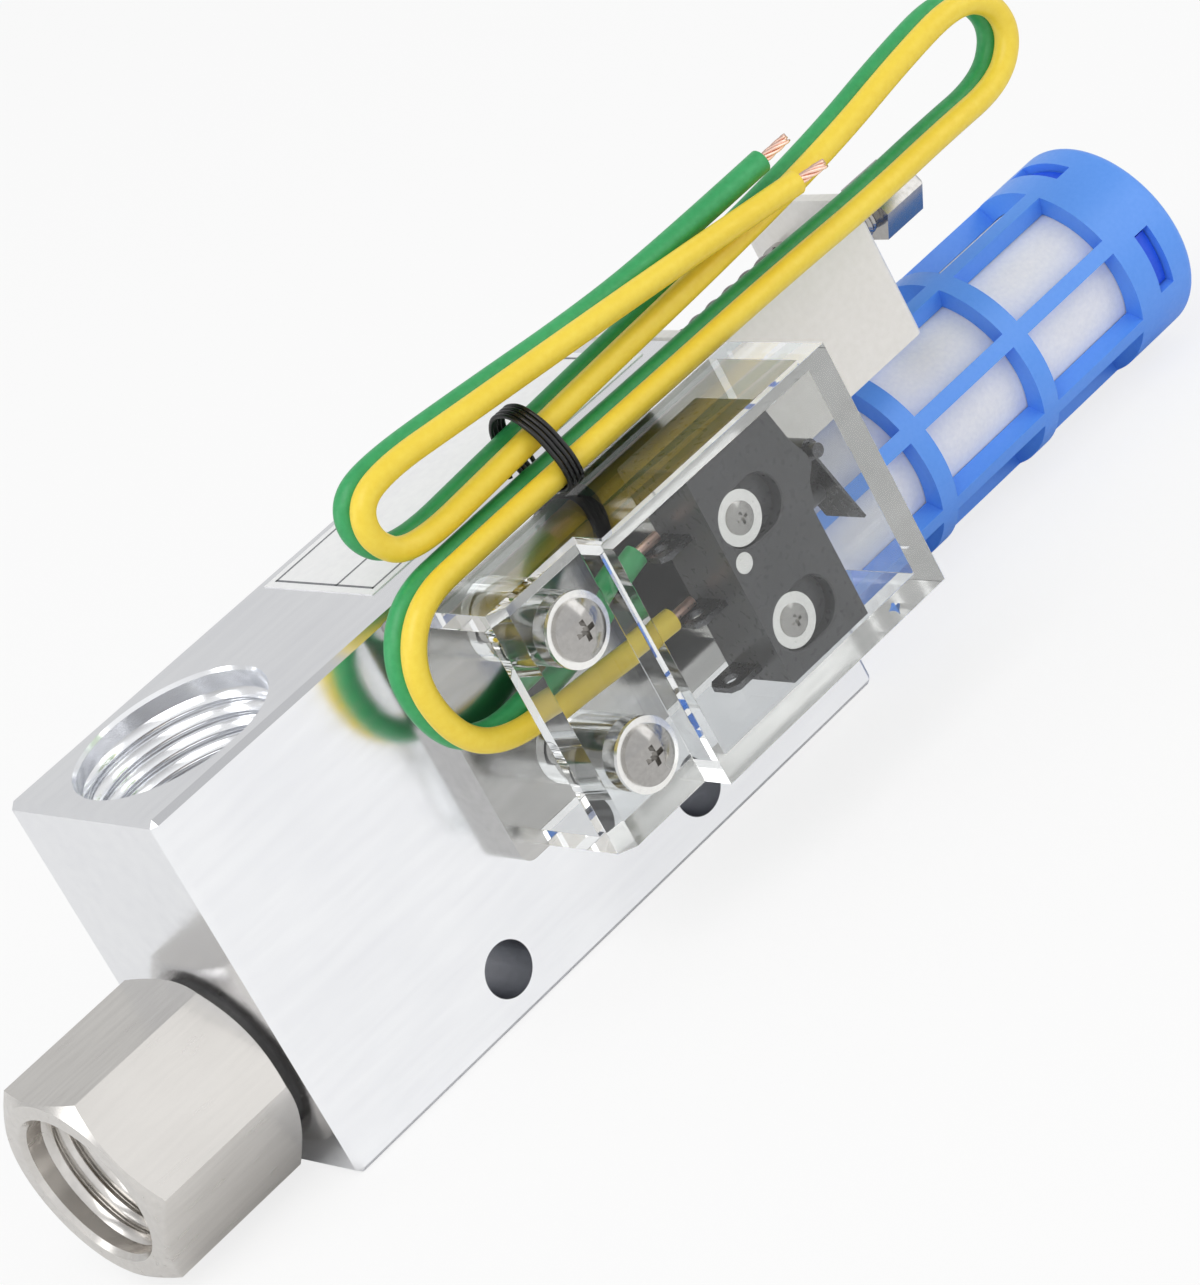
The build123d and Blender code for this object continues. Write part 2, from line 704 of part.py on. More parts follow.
# Folded bracket beyond the block that holds the pressure spring
with BuildPart() as spring_bracket:
    with BuildSketch(Plane.XY.offset(bracket_z0)):
        with Locations((bracket_x0, front_y)):
            Rectangle(
                bracket_x1 - bracket_x0,
                bracket_foot_y - front_y,
                align=(Align.MIN, Align.MIN),
            )
        with Locations((bracket_x0 + bracket_thick, front_y + bracket_thick)):
            Rectangle(
                bracket_x1 - bracket_x0 - 2 * bracket_thick,
                bracket_foot_y - front_y,
                align=(Align.MIN, Align.MIN),
                mode=Mode.SUBTRACT,
            )
        with Locations((bracket_x1, bracket_tab_y)):
            Rectangle(2 * bracket_thick, bracket_foot_y, align=(Align.MAX, Align.MIN), mode=Mode.SUBTRACT)
    extrude(amount=bracket_z1 - bracket_z0)
    fold_edges = spring_bracket.edges().filter_by(Axis.Z).group_by(Axis.Y)
    fillet(fold_edges[0], radius=bracket_thick)
    tab_edges = spring_bracket.edges().filter_by(Axis.X).filter_by(
        lambda edge: edge.length < 2 * bracket_thick
    )
    fillet(tab_edges, radius=bracket_corner_r)
    with BuildSketch(along_x(bracket_x1 - 2 * bracket_thick, sense_z)):
        Circle(screw_r + screw_fit)
    extrude(amount=3 * bracket_thick, mode=Mode.SUBTRACT)
    with BuildSketch(along_x(bracket_x0 - bracket_thick, sense_z)):
        Circle(sense_neck_r + 0.3)
    extrude(amount=3 * bracket_thick, mode=Mode.SUBTRACT)
    with BuildSketch(along_x(bracket_x0 - bracket_thick, bracket_screw_z)):
        with Locations(*[(y, 0) for y in bracket_screw_y]):
            Circle(bracket_screw_r + cover_screw_clearance)
    extrude(amount=3 * bracket_thick, mode=Mode.SUBTRACT)
save(spring_bracket.part, "spring_bracket")

for number, y in enumerate(bracket_screw_y, start=1):
    with BuildPart() as bracket_screw:
        with BuildSketch(facing_x(bracket_x0 + bracket_thick, y, bracket_screw_z)):
            Circle(bracket_screw_head_r)
        extrude(amount=bracket_screw_head_h)
        fillet(bracket_screw.edges().group_by(Axis.X)[-1], radius=bracket_screw_head_h * 0.5)
        with BuildSketch(facing_x(bracket_x0 + bracket_thick, y, bracket_screw_z)):
            Circle(bracket_screw_r)
        extrude(amount=-5.5)
    save(bracket_screw.part, f"bracket_screw_{number}")

# Sensing piston with its seal, sliding in the block behind the bracket
plug_stub_r = spring_r - 2 * spring_wire_r - plug_gap
piston_x0 = end_x - sense_bore_depth + sense_travel + 1.0
groove_x0 = piston_x0 + sense_land
with BuildPart() as sensing_piston:
    with BuildSketch(Plane.XZ):
        with BuildLine():
            Polyline(
                (piston_x0, sense_z),
                (piston_x0, sense_z + sense_bore_r - sense_fit),
                (groove_x0, sense_z + sense_bore_r - sense_fit),
                (groove_x0, sense_z + sense_bore_r - 1.2),
                (groove_x0 + sense_groove, sense_z + sense_bore_r - 1.2),
                (groove_x0 + sense_groove, sense_z + sense_bore_r - sense_fit),
                (end_x - 0.1, sense_z + sense_bore_r - sense_fit),
                (end_x - 0.1, sense_z + sense_neck_r),
                (spring_x0 - spring_wire_r - 0.8, sense_z + sense_neck_r),
                (spring_x0 - spring_wire_r - 0.8, sense_z + plug_flange_r),
                (spring_x0 - spring_wire_r, sense_z + plug_flange_r),
                (spring_x0 - spring_wire_r, sense_z + plug_stub_r),
                (spring_x0 + plug_length, sense_z + plug_stub_r),
                (spring_x0 + plug_length, sense_z),
                close=True,
            )
        make_face()
    revolve(axis=sense_line)
save(sensing_piston.part, "sensing_piston")

with BuildPart() as piston_ring:
    with BuildSketch(Plane.XZ):
        with Locations((groove_x0 + sense_groove / 2, sense_z + sense_bore_r - 0.62)):
            Circle(0.56)
    revolve(axis=sense_line)
save(piston_ring.part, "piston_ring")

# Pull spring between the piston and the adjusting screw
with BuildPart() as pull_spring:
    with BuildLine() as coil:
        Helix(
            pitch=(spring_x1 - spring_x0) / spring_turns,
            height=spring_x1 - spring_x0,
            radius=spring_r - spring_wire_r,
            center=(spring_x0, 0, sense_z),
            direction=(1, 0, 0),
        )
    with BuildSketch(Plane(origin=coil.line @ 0, z_dir=coil.line % 0)):
        Circle(spring_wire_r)
    sweep(path=coil.line, is_frenet=True)
save(pull_spring.part, "pull_spring")

# Spring plug on the inner end of the adjusting screw
plug_x0 = spring_x1 - plug_length
plug_x1 = spring_x1 + spring_wire_r + plug_flange
screw_x0 = plug_x1 - screw_grip
with BuildPart() as spring_plug:
    with BuildSketch(along_x(plug_x0, sense_z)):
        Circle(plug_stub_r)
    extrude(amount=plug_x1 - plug_x0)
    with BuildSketch(along_x(plug_x1 - plug_flange, sense_z)):
        Circle(plug_flange_r)
    extrude(amount=plug_flange)
    with BuildSketch(along_x(plug_x1, sense_z)):
        Circle(screw_r + screw_fit)
    extrude(amount=-screw_grip - screw_fit, mode=Mode.SUBTRACT)
save(spring_plug.part, "spring_plug")

head_x0 = bracket_x1 + screw_reach
with BuildPart() as adjusting_screw:
    with BuildSketch(along_x(screw_x0, sense_z)):
        Circle(screw_r)
    extrude(amount=head_x0 - screw_x0)
    with BuildSketch(along_x(head_x0, sense_z)):
        RegularPolygon(screw_head_af / 2 / cos(radians(30)), 6)
    extrude(amount=screw_head_length)
    chamfer(adjusting_screw.edges().group_by(Axis.X)[-1], length=0.5)
save(adjusting_screw.part, "adjusting_screw")


# Wires: straight runs joined by tangent arcs, the green one beside the yellow one
def bend_radii(points):
    radii = []
    for before, bend, after in zip(points, points[1:], points[2:]):
        run_in = bend - before
        run_out = after - bend
        half_turn = radians(run_in.get_angle(run_out)) / 2
        radii.append(0.45 * min(run_in.length, run_out.length) / tan(half_turn))
    return radii


def cord(offsets, section_r, node):
    points = [corner + Vector(*offset) for offset in offsets]
    radii = bend_radii(points)
    with BuildPart() as tube:
        with BuildLine() as route:
            FilletPolyline(*points, radius=radii)
        path = route.wires()[0]
        with BuildSketch(Plane(origin=path @ 0, z_dir=path % 0)):
            Circle(section_r)
        sweep(path=path)
    length = path.length
    section = pi * section_r * section_r
    print(node, "length", round(length, 1))
    print("  volume ratio", round(tube.part.volume / section / length, 4))
    print("  bend radii", [round(r, 1) for r in radii])
    save(tube.part, node)


def straight_end(offsets, section_r, length, node):
    heading = (Vector(*offsets[-1]) - Vector(*offsets[-2])).normalized()
    with BuildPart() as end:
        with BuildSketch(Plane(origin=corner + Vector(*offsets[-1]), z_dir=heading)):
            Circle(section_r)
        extrude(amount=length)
    save(end.part, node)


# Route points count from the corner of the block between its front, top and silencer faces
yellow_route = [
    (-19.6, -7.2, -12.95),
    (-23.4, -6.9, -12.85),
    (-29.2, -6.5, -12.4),
    (-36.5, -6.3, -12.1),
    (-40.4, -6.1, -9),
    (-41.1, -5.7, -2.8),
    (-37.2, -5.15, 1.4),
    (-29.8, -4.75, 1.3),
    (-20.6, -4.5, 1.25),
    (-7.6, -4.5, 1.2),
    (6.4, -4.5, 1.2),
    (19, -4.2, 0.7),
    (28.4, -3.9, 0.75),
    (35.8, -3.7, 0.55),
    (39.2, -3.7, 3.1),
    (39, -3.7, 6.5),
    (35.6, -3.6, 8.6),
    (28.4, -3.4, 7.9),
    (18.4, -3.2, 6.3),
    (4.4, -3.1, 5.3),
    (-11.6, -3, 4.7),
    (-23.6, -3, 4.2),
    (-34.2, -3, 3.7),
    (-36.8, -3, 6.7),
    (-36, -3, 9.8),
    (-32.2, -3.1, 10.55),
    (-25.4, -3.4, 9.95),
    (-15, -4, 9.16),
    (-0.7, -4.7, 7.98),
    (12, -5.2, 6.7),
]
green_start = [
    (-19.6, -7.2, -6.7),
    (-22, -7, -7.2),
    (-25.4, -5.4, -9.9),
    (-31.2, -4.4, -11.3),
    (-36.8, -4.2, -11.6),
]
green_end = [
    (-23.2, -1.3, 9.97),
    (-9, -1.9, 8.71),
    (0.4, -2.5, 8.73),
    (11.5, -2.9, 9.1),
]
green_middle = [(x, y + wire_pitch_y, z + wire_pitch_z) for x, y, z in yellow_route[4:26]]
green_route = green_start + green_middle + green_end
cord(yellow_route, wire_r, "yellow_wire")
cord(green_route, wire_r, "green_wire")
straight_end(yellow_route, core_r, core_length, "yellow_core")
straight_end(green_route, core_r, core_length, "green_core")

# Bare strands soldered on the two terminals in use
for node, route in (("yellow_tail", yellow_route), ("green_tail", green_route)):
    with BuildPart() as tail:
        wire_start = corner + Vector(*route[0])
        with BuildSketch(facing_x(wire_start.X + 0.05, wire_start.Y, wire_start.Z)):
            Circle(core_r)
        extrude(amount=2.4)
    save(tail.part, node)

# Twist tie wound around the lower and middle runs
tie_ring = (
    (0.6, 2.8),
    (0.65, 5.2),
    (-0.7, 6.85),
    (-2.9, 7.0),
    (-4.9, 5.2),
    (-6.0, 2.4),
    (-5.9, 0.55),
    (-4.9, -0.15),
    (-2.4, -0.1),
    (-0.3, 0.6),
)
tie_route = [(tie_x - 0.4, 0.5, 1.3)]
for turn in range(tie_turns):
    for side, (y, z) in enumerate(tie_ring):
        tie_route.append((tie_x + tie_pitch * (turn + side / len(tie_ring)), y, z))
tie_route.append((tie_x + tie_pitch * tie_turns + 0.4, 0.5, 2.4))
cord(tie_route, tie_wire_r, "wire_tie")
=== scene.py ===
import json
from math import copysign, cos, pi, radians, sin

import bmesh
import bpy
from mathutils import Matrix, Vector


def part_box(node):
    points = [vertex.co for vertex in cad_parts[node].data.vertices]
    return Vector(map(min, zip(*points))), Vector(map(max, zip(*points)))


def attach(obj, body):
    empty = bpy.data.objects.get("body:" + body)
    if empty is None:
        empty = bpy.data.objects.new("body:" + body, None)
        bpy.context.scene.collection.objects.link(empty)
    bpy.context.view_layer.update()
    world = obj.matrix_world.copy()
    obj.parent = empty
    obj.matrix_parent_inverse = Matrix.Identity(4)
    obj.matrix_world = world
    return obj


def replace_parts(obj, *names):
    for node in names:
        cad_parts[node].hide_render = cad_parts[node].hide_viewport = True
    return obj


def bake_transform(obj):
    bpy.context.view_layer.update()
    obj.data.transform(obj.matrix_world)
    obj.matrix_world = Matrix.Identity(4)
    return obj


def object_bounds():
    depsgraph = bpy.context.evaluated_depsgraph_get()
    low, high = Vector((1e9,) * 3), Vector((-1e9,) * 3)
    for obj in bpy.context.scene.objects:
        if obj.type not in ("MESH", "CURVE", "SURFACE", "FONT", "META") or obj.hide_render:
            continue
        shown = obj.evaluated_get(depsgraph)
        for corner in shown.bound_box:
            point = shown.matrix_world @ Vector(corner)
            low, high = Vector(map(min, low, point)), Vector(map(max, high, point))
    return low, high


# Looks of a vacuum ejector with a vacuum switch, in metres.
# X runs from the air inlet to the silencer, the switch side faces -Y, and Z = 0 is the floor.

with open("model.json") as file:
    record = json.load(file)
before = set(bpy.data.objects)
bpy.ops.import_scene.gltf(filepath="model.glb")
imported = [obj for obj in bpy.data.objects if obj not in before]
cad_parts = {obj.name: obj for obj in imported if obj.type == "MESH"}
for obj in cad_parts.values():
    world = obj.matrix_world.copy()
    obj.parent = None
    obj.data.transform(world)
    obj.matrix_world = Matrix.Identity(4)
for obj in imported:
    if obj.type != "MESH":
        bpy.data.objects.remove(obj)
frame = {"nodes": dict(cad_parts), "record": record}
cad_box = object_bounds()
record = frame["record"]
nodes = frame["nodes"]
mounts = {mount["name"]: mount for mount in record["mounts"]}
slots = {subpart["node"]: subpart["material_slot"] for subpart in record["subparts"]}
mm = 0.001

# Camera
camera_place = (-0.1898, -0.3372, 0.1898)
camera_right = (0.6452, -0.6235, -0.4416)
camera_up = (0.5971, 0.0508, 0.8006)
camera_back = (-0.4767, -0.7802, 0.4051)
camera_lens = 149.24
camera_sensor = 36.0
camera_near = 0.02
camera_far = 50.0

# Wires: the green one runs beside the yellow one, by wire_gap_y and wire_gap_z
wire_radius = 0.00102
wire_gap_y = 0.0021
wire_gap_z = 0.0001
wire_round_steps = 8
wire_route_steps = 14
wire_order = 3

# Copper strands at a wire's stripped end; the shares are of the CAD core's length
strand_count = 7
strand_radius = 0.15 * wire_radius
strand_twist = 1.1 * pi
strand_reach = 0.93
strand_cut = 0.05
strand_tuck = 0.0004
strand_tip = 0.6
strand_rings = 12
strand_sides = 10

# Pipe threads and the setting screw's thread
pipe_pitch = 0.001337
pipe_ridge = 0.00062
port_land = 0.0017
port_thread_length = 0.0092
inlet_land = 0.0013
inlet_thread_length = 0.0078
screw_pitch = 0.0005
screw_ridge = 0.00016
screw_radius = 0.0015
screw_land = 0.0005
screw_thread_length = 0.0064

# Profile of a thread: half widths as shares of the pitch, and how far its foot is sunk
thread_steps = 56
thread_foot = 0.46
thread_crest = 0.06
thread_sink = 0.00002
thread_fade_turns = 0.5

# Broken edges; the cover is held a hair off the pieces it touches so that light leaves it
metal_edge = 0.00011
cover_edge = 0.00016
cover_gap = 0.00003
edge_segments = 2
flat_angle = radians(2)
corner_angle = radians(40)
crease_angle = radians(50)

# Width beyond a mounting hole's radius that still counts as its wall, where the painted shade of
# the bores reaches
bore_shade_margin = 0.00003

# Label sheet on the top face
label_low = (-0.0033, -0.0059)
label_high = (0.0292, 0.0086)
label_thick = 0.00008
label_sink = 0.00001
label_margin = 0.0007
label_line = 0.00022
label_line_half = 0.00002
label_divider = 0.0048

# Floor: it glows where it is seen or shows through the cover, and in mirrors in front of the block
floor_half = 6.0
floor_tone = (0.86, 0.86, 0.86, 1)
floor_gloss = 0.9
floor_glow = 0.8
floor_dark_y = -0.01
floor_light_y = -0.0108

# World: strength of its light, and what metal mirrors, by height and from the front to the back
white = (1, 1, 1, 1)
world_light = 0.62
mirror_bands = ((0.0, (0.9, 0.905, 0.92, 1)), (0.5, white), (0.9, (0.5, 0.5, 0.51, 1)))
mirror_front = 1.0
mirror_back = 0.68

# Lamps: place, size and power
lamps = {
    "key_lamp": ((-0.35, -0.25, 0.75), (0.6, 0.6), 2.6),
    "fill_lamp": ((0.65, -0.6, 0.35), (0.5, 0.7), 1.2),
    "rim_lamp": ((-0.8, 0.35, 0.4), (0.3, 0.6), 1.2),
}

# Light passes the clear cover's walls many times
clear_bounces = 32
mirror_bounces = 24


def show(name, data):
    made = bpy.data.objects.new(name, data)
    bpy.context.scene.collection.objects.link(made)
    return made


def srgb(red, green, blue):
    def linear(channel):
        share = channel / 255
        return share / 12.92 if share < 0.04045 else ((share + 0.055) / 1.055) ** 2.4

    return (linear(red), linear(green), linear(blue), 1.0)


# Shader nodes: an input takes a plain value or another node's output
def feed(tree, socket, value):
    if isinstance(value, bpy.types.NodeSocket):
        tree.links.new(value, socket)
    else:
        socket.default_value = value


def shader_node(tree, kind, inputs):
    made = tree.nodes.new(kind)
    for socket, value in inputs.items():
        feed(tree, made.inputs[socket], value)
    return made


def calc(tree, operation, first, second, kind="ShaderNodeMath", output="Value"):
    made = shader_node(tree, kind, {0: first, 1: second})
    made.operation = operation
    return made.outputs[output]


def remap(tree, value, low, high, to_low=0.0, to_high=1.0):
    ends = {"From Min": low, "From Max": high, "To Min": to_low, "To Max": to_high}
    return shader_node(tree, "ShaderNodeMapRange", {"Value": value, **ends}).outputs[0]


def mix_tones(tree, share, first, second):
    made = tree.nodes.new("ShaderNodeMix")
    made.data_type = "RGBA"
    # Inputs 6 and 7 and output 2 are the Mix node's sockets for colours
    for socket, value in ((0, share), (6, first), (7, second)):
        feed(tree, made.inputs[socket], value)
    return made.outputs[2]


def mix_shaders(tree, share, first, second):
    sockets = {0: share, 1: first, 2: second}
    return shader_node(tree, "ShaderNodeMixShader", sockets).outputs[0]


def object_place(tree):
    return tree.nodes.new("ShaderNodeTexCoord").outputs["Object"]


def seen_directly(tree, path):
    return calc(tree, "MAXIMUM", path["Is Camera Ray"], path["Is Transmission Ray"])


# Materials: each one has a drifting tone, a drifting gloss and a fine relief
grain_low, grain_high = 0.3, 0.7
grain_detail = 4
patch_scale = 90.0
patch_detail = 2
drift_low, drift_high = 0.7, 1.3


def noise(tree, scale, stretch, detail):
    sockets = {"Vector": object_place(tree), "Scale": stretch}
    mapped = shader_node(tree, "ShaderNodeMapping", sockets).outputs["Vector"]
    sockets = {"Vector": mapped, "Scale": scale, "Detail": detail}
    return shader_node(tree, "ShaderNodeTexNoise", sockets).outputs["Fac"]


def surface(name, tone, other_tone, gloss, scale, stretch=(1, 1, 1), relief=0.0, **sockets):
    material = bpy.data.materials.new(name)
    material.use_nodes = True
    tree = material.node_tree
    shader = tree.nodes["Principled BSDF"]
    for socket, value in sockets.items():
        shader.inputs[socket.replace("_", " ")].default_value = value
    grain = noise(tree, scale, stretch, grain_detail)
    patches = noise(tree, patch_scale, (1, 1, 1), patch_detail)
    drift = remap(tree, calc(tree, "ADD", grain, patches), drift_low, drift_high)
    feed(tree, shader.inputs["Base Color"], mix_tones(tree, drift, tone, other_tone))
    feed(tree, shader.inputs["Roughness"], remap(tree, grain, grain_low, grain_high, *gloss))
    if relief:
        heights = {"Strength": 1.0, "Distance": relief, "Height": grain}
        bump = shader_node(tree, "ShaderNodeBump", heights)
        feed(tree, shader.inputs["Normal"], bump.outputs["Normal"])
    return material


looks = {
    "anodised_block": surface(
        "bright_aluminium", srgb(246, 247, 249), srgb(240, 241, 244), (0.16, 0.22), 900,
        stretch=(0.12, 1, 1), relief=0.0000012, Metallic=1.0,
    ),
    "nickel_fitting": surface(
        "satin_nickel", srgb(224, 221, 217), srgb(212, 209, 205), (0.2, 0.28), 1500,
        stretch=(0.1, 1, 1), relief=0.000002, Metallic=1.0,
    ),
    "silencer_blue": surface(
        "blue_nylon", srgb(98, 162, 254), srgb(90, 155, 250), (0.32, 0.42), 2500,
        relief=0.000003,
    ),
    "plug_blue": surface(
        "deep_blue_nylon", srgb(36, 98, 240), srgb(30, 90, 230), (0.36, 0.5), 2500,
        relief=0.000003,
    ),
    "filter_white": surface(
        "filter_felt", srgb(248, 248, 251), srgb(236, 237, 244), (0.8, 0.95), 2600,
        relief=0.00002,
    ),
    "clear_acrylic": surface(
        "clear_acrylic", srgb(244, 245, 245), srgb(240, 242, 242), (0.0, 0.012), 300,
        Transmission_Weight=1.0, IOR=1.4,
    ),
    "plate_steel": surface(
        "polished_plate", srgb(196, 195, 193), srgb(184, 183, 181), (0.12, 0.2), 1400,
        stretch=(0.1, 1, 1), relief=0.0000015, Metallic=1.0,
    ),
    "bracket_sheet": surface(
        "cream_sheet", srgb(242, 239, 235), srgb(234, 231, 226), (0.3, 0.4), 1500,
        relief=0.000002, Metallic=0.35,
    ),
    "bright_screw": surface(
        "nickel_screw", srgb(178, 176, 173), srgb(164, 162, 159), (0.12, 0.18), 2600,
        relief=0.0000004, Metallic=1.0,
    ),
    "washer_steel": surface(
        "washer_zinc", srgb(246, 245, 242), srgb(238, 237, 234), (0.2, 0.28), 2400,
        relief=0.0000004, Metallic=1.0,
    ),
    "spring_steel": surface(
        "drawn_steel", srgb(150, 147, 143), srgb(118, 115, 112), (0.2, 0.32), 2600,
        relief=0.000003, Metallic=1.0,
    ),
    "case_dark": surface(
        "switch_moulding", srgb(88, 88, 90), srgb(84, 84, 86), (0.26, 0.32), 1800,
        relief=0.0000004,
    ),
    "lever_steel": surface(
        "dark_steel", srgb(112, 112, 114), srgb(84, 84, 86), (0.24, 0.36), 2600,
        relief=0.000003, Metallic=1.0,
    ),
    "rubber_black": surface(
        "black_rubber", srgb(82, 81, 80), srgb(68, 67, 66), (0.4, 0.55), 2600,
        relief=0.00001,
    ),
    "brass_inner": surface(
        "turned_brass", srgb(206, 172, 104), srgb(188, 152, 86), (0.22, 0.34), 2200,
        stretch=(1, 0.1, 0.1), relief=0.000003, Metallic=1.0,
    ),
    "yellow_insulation": surface(
        "yellow_insulation", srgb(250, 222, 76), srgb(244, 212, 62), (0.32, 0.44), 1800,
        relief=0.000008,
    ),
    "green_insulation": surface(
        "green_insulation", srgb(62, 172, 104), srgb(50, 156, 90), (0.32, 0.44), 1800,
        relief=0.000008,
    ),
    "copper_strand": surface(
        "copper_strand", srgb(255, 222, 206), srgb(248, 204, 184), (0.26, 0.38), 3000,
        relief=0.000004, Metallic=1.0,
    ),
    "tie_black": surface(
        "tie_coating", srgb(26, 26, 27), srgb(16, 16, 17), (0.26, 0.38), 2600,
        relief=0.000006,
    ),
    "piston_metal": surface(
        "turned_aluminium", srgb(204, 204, 208), srgb(184, 184, 188), (0.22, 0.34), 2200,
        stretch=(1, 0.1, 0.1), relief=0.000003, Metallic=1.0,
    ),
}
label_paper = surface(
    "label_film", srgb(246, 246, 246), srgb(238, 238, 239), (0.3, 0.42), 1500, relief=0.000004
)
label_ink = surface("label_ink", srgb(120, 122, 126), srgb(104, 106, 110), (0.3, 0.42), 1500)
# Painted shade for the inside of the two mounting holes
bore_shade_tone = srgb(206, 207, 210)

for node, slot in slots.items():
    for place in nodes[node].material_slots:
        place.material = looks[slot]


# Painted shade: the walls of the two mounting holes are coloured darker to stand in for the shade
# inside them
def paint_bore_shade(material, centres, radius, tone):
    tree = material.node_tree
    base_colour = tree.nodes["Principled BSDF"].inputs["Base Color"]
    outer_tone = base_colour.links[0].from_socket
    vector = "ShaderNodeVectorMath"
    flat = calc(tree, "MULTIPLY", object_place(tree), (1, 0, 1), vector, "Vector")
    for centre_x, centre_z in centres:
        reach = calc(tree, "DISTANCE", flat, (centre_x, 0, centre_z), vector)
        inside = calc(tree, "LESS_THAN", reach, radius)
        outer_tone = mix_tones(tree, inside, outer_tone, tone)
    feed(tree, base_colour, outer_tone)


holes = mounts["mounting_holes"]
hole_x, hole_z = holes["pos_m"][0], holes["pos_m"][2]
half_spacing = holes["dims"]["spacing_x_mm"] * mm / 2
paint_bore_shade(
    looks["anodised_block"], [(hole_x - half_spacing, hole_z), (hole_x + half_spacing, hole_z)],
    holes["dims"]["hole_r_mm"] * mm + bore_shade_margin, bore_shade_tone,
)


# Mesh tools
def piece(name, points, faces, material, body, smooth=True):
    mesh = bpy.data.meshes.new(name)
    mesh.from_pydata(points, [], faces)
    mesh.validate()
    if smooth:
        mesh.shade_smooth()
    else:
        mesh.shade_flat()
    mesh.materials.append(material)
    made = show(name, mesh)
    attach(made, body)
    return made


def across(along):
    """Two directions square to along and to each other."""
    side = along.orthogonal().normalized()
    return side, along.cross(side)


def thread(name, start, direction, wall, ridge, pitch, length, slot, body):
    """A helical ridge on the wall's radius; it stands outward, or inward if it is negative."""
    along = Vector(direction).normalized()
    side, other = across(along)
    steps = int(length / pitch * thread_steps)
    foot = wall - copysign(thread_sink, ridge)
    foot_half = thread_foot * pitch
    crest_half = thread_crest * pitch
    points, faces = [], []
    for step in range(steps + 1):
        turns, turns_left = step / thread_steps, (steps - step) / thread_steps
        fade = min(1.0, turns / thread_fade_turns, turns_left / thread_fade_turns)
        outward = side * cos(2 * pi * turns) + other * sin(2 * pi * turns)
        middle = Vector(start) + along * (turns * pitch)
        crest = wall + ridge * fade
        profile = (
            (foot, -foot_half), (crest, -crest_half), (crest, crest_half), (foot, foot_half)
        )
        for reach, shift in profile:
            points.append(middle + outward * reach + along * shift)
    for step in range(steps):
        here, there = 4 * step, 4 * step + 4
        for edge in range(3):
            faces.append((here + edge, here + edge + 1, there + edge + 1, there + edge))
    return piece(name, points, faces, looks[slot], body)


# Wires: one smooth line each through the listed route
yellow_route = [
    (0.0120, -0.0172, 0.02125),
    (0.0082, -0.0169, 0.02135),
    (0.0024, -0.0165, 0.0218),
    (-0.0049, -0.0163, 0.0221),
    (-0.0088, -0.0161, 0.0252),
    (-0.0095, -0.0157, 0.0314),
    (-0.0056, -0.0152, 0.0356),
    (0.0018, -0.0147, 0.0355),
    (0.0110, -0.0145, 0.03545),
    (0.0240, -0.0145, 0.0354),
    (0.0380, -0.0145, 0.0354),
    (0.0506, -0.0142, 0.0349),
    (0.0600, -0.0139, 0.03495),
    (0.0674, -0.0137, 0.03475),
    (0.0708, -0.0137, 0.0373),
    (0.0706, -0.0137, 0.0407),
    (0.0672, -0.0136, 0.0428),
    (0.0600, -0.0134, 0.0421),
    (0.0500, -0.0132, 0.0405),
    (0.0360, -0.0131, 0.0395),
    (0.0200, -0.0130, 0.0389),
    (0.0080, -0.0130, 0.0384),
    (-0.0026, -0.0130, 0.0379),
    (-0.0052, -0.0130, 0.0409),
    (-0.0044, -0.0130, 0.0440),
    (-0.0006, -0.0131, 0.04475),
    (0.0062, -0.0134, 0.04415),
    (0.0166, -0.0140, 0.04336),
    (0.0309, -0.0147, 0.04218),
    (0.0436, -0.0152, 0.0409),
]
green_start = [
    (0.0120, -0.0172, 0.0275),
    (0.0096, -0.0170, 0.0270),
    (0.0062, -0.0154, 0.0243),
    (0.0004, -0.0144, 0.0229),
    (-0.0052, -0.0142, 0.0226),
]
green_end = [
    (0.0084, -0.0113, 0.04417),
    (0.0226, -0.0119, 0.04291),
    (0.0320, -0.0125, 0.04293),
    (0.0431, -0.0129, 0.0433),
]
green_middle = [(x, y + wire_gap_y, z + wire_gap_z) for x, y, z in yellow_route[4:26]]
green_route = green_start + green_middle + green_end


def wire(node, route, slot):
    curve = bpy.data.curves.new(node + "_insulation", "CURVE")
    curve.dimensions = "3D"
    curve.bevel_depth = wire_radius
    curve.bevel_resolution = wire_round_steps
    curve.resolution_u = wire_route_steps
    curve.use_fill_caps = True
    spline = curve.splines.new("NURBS")
    spline.points.add(len(route) - 1)
    for point, place in zip(spline.points, route):
        point.co = (*place, 1.0)
    spline.order_u = wire_order
    spline.use_endpoint_u = True
    curve.materials.append(looks[slot])
    made = show(node + "_insulation", curve)
    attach(made, "base")
    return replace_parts(made, node)


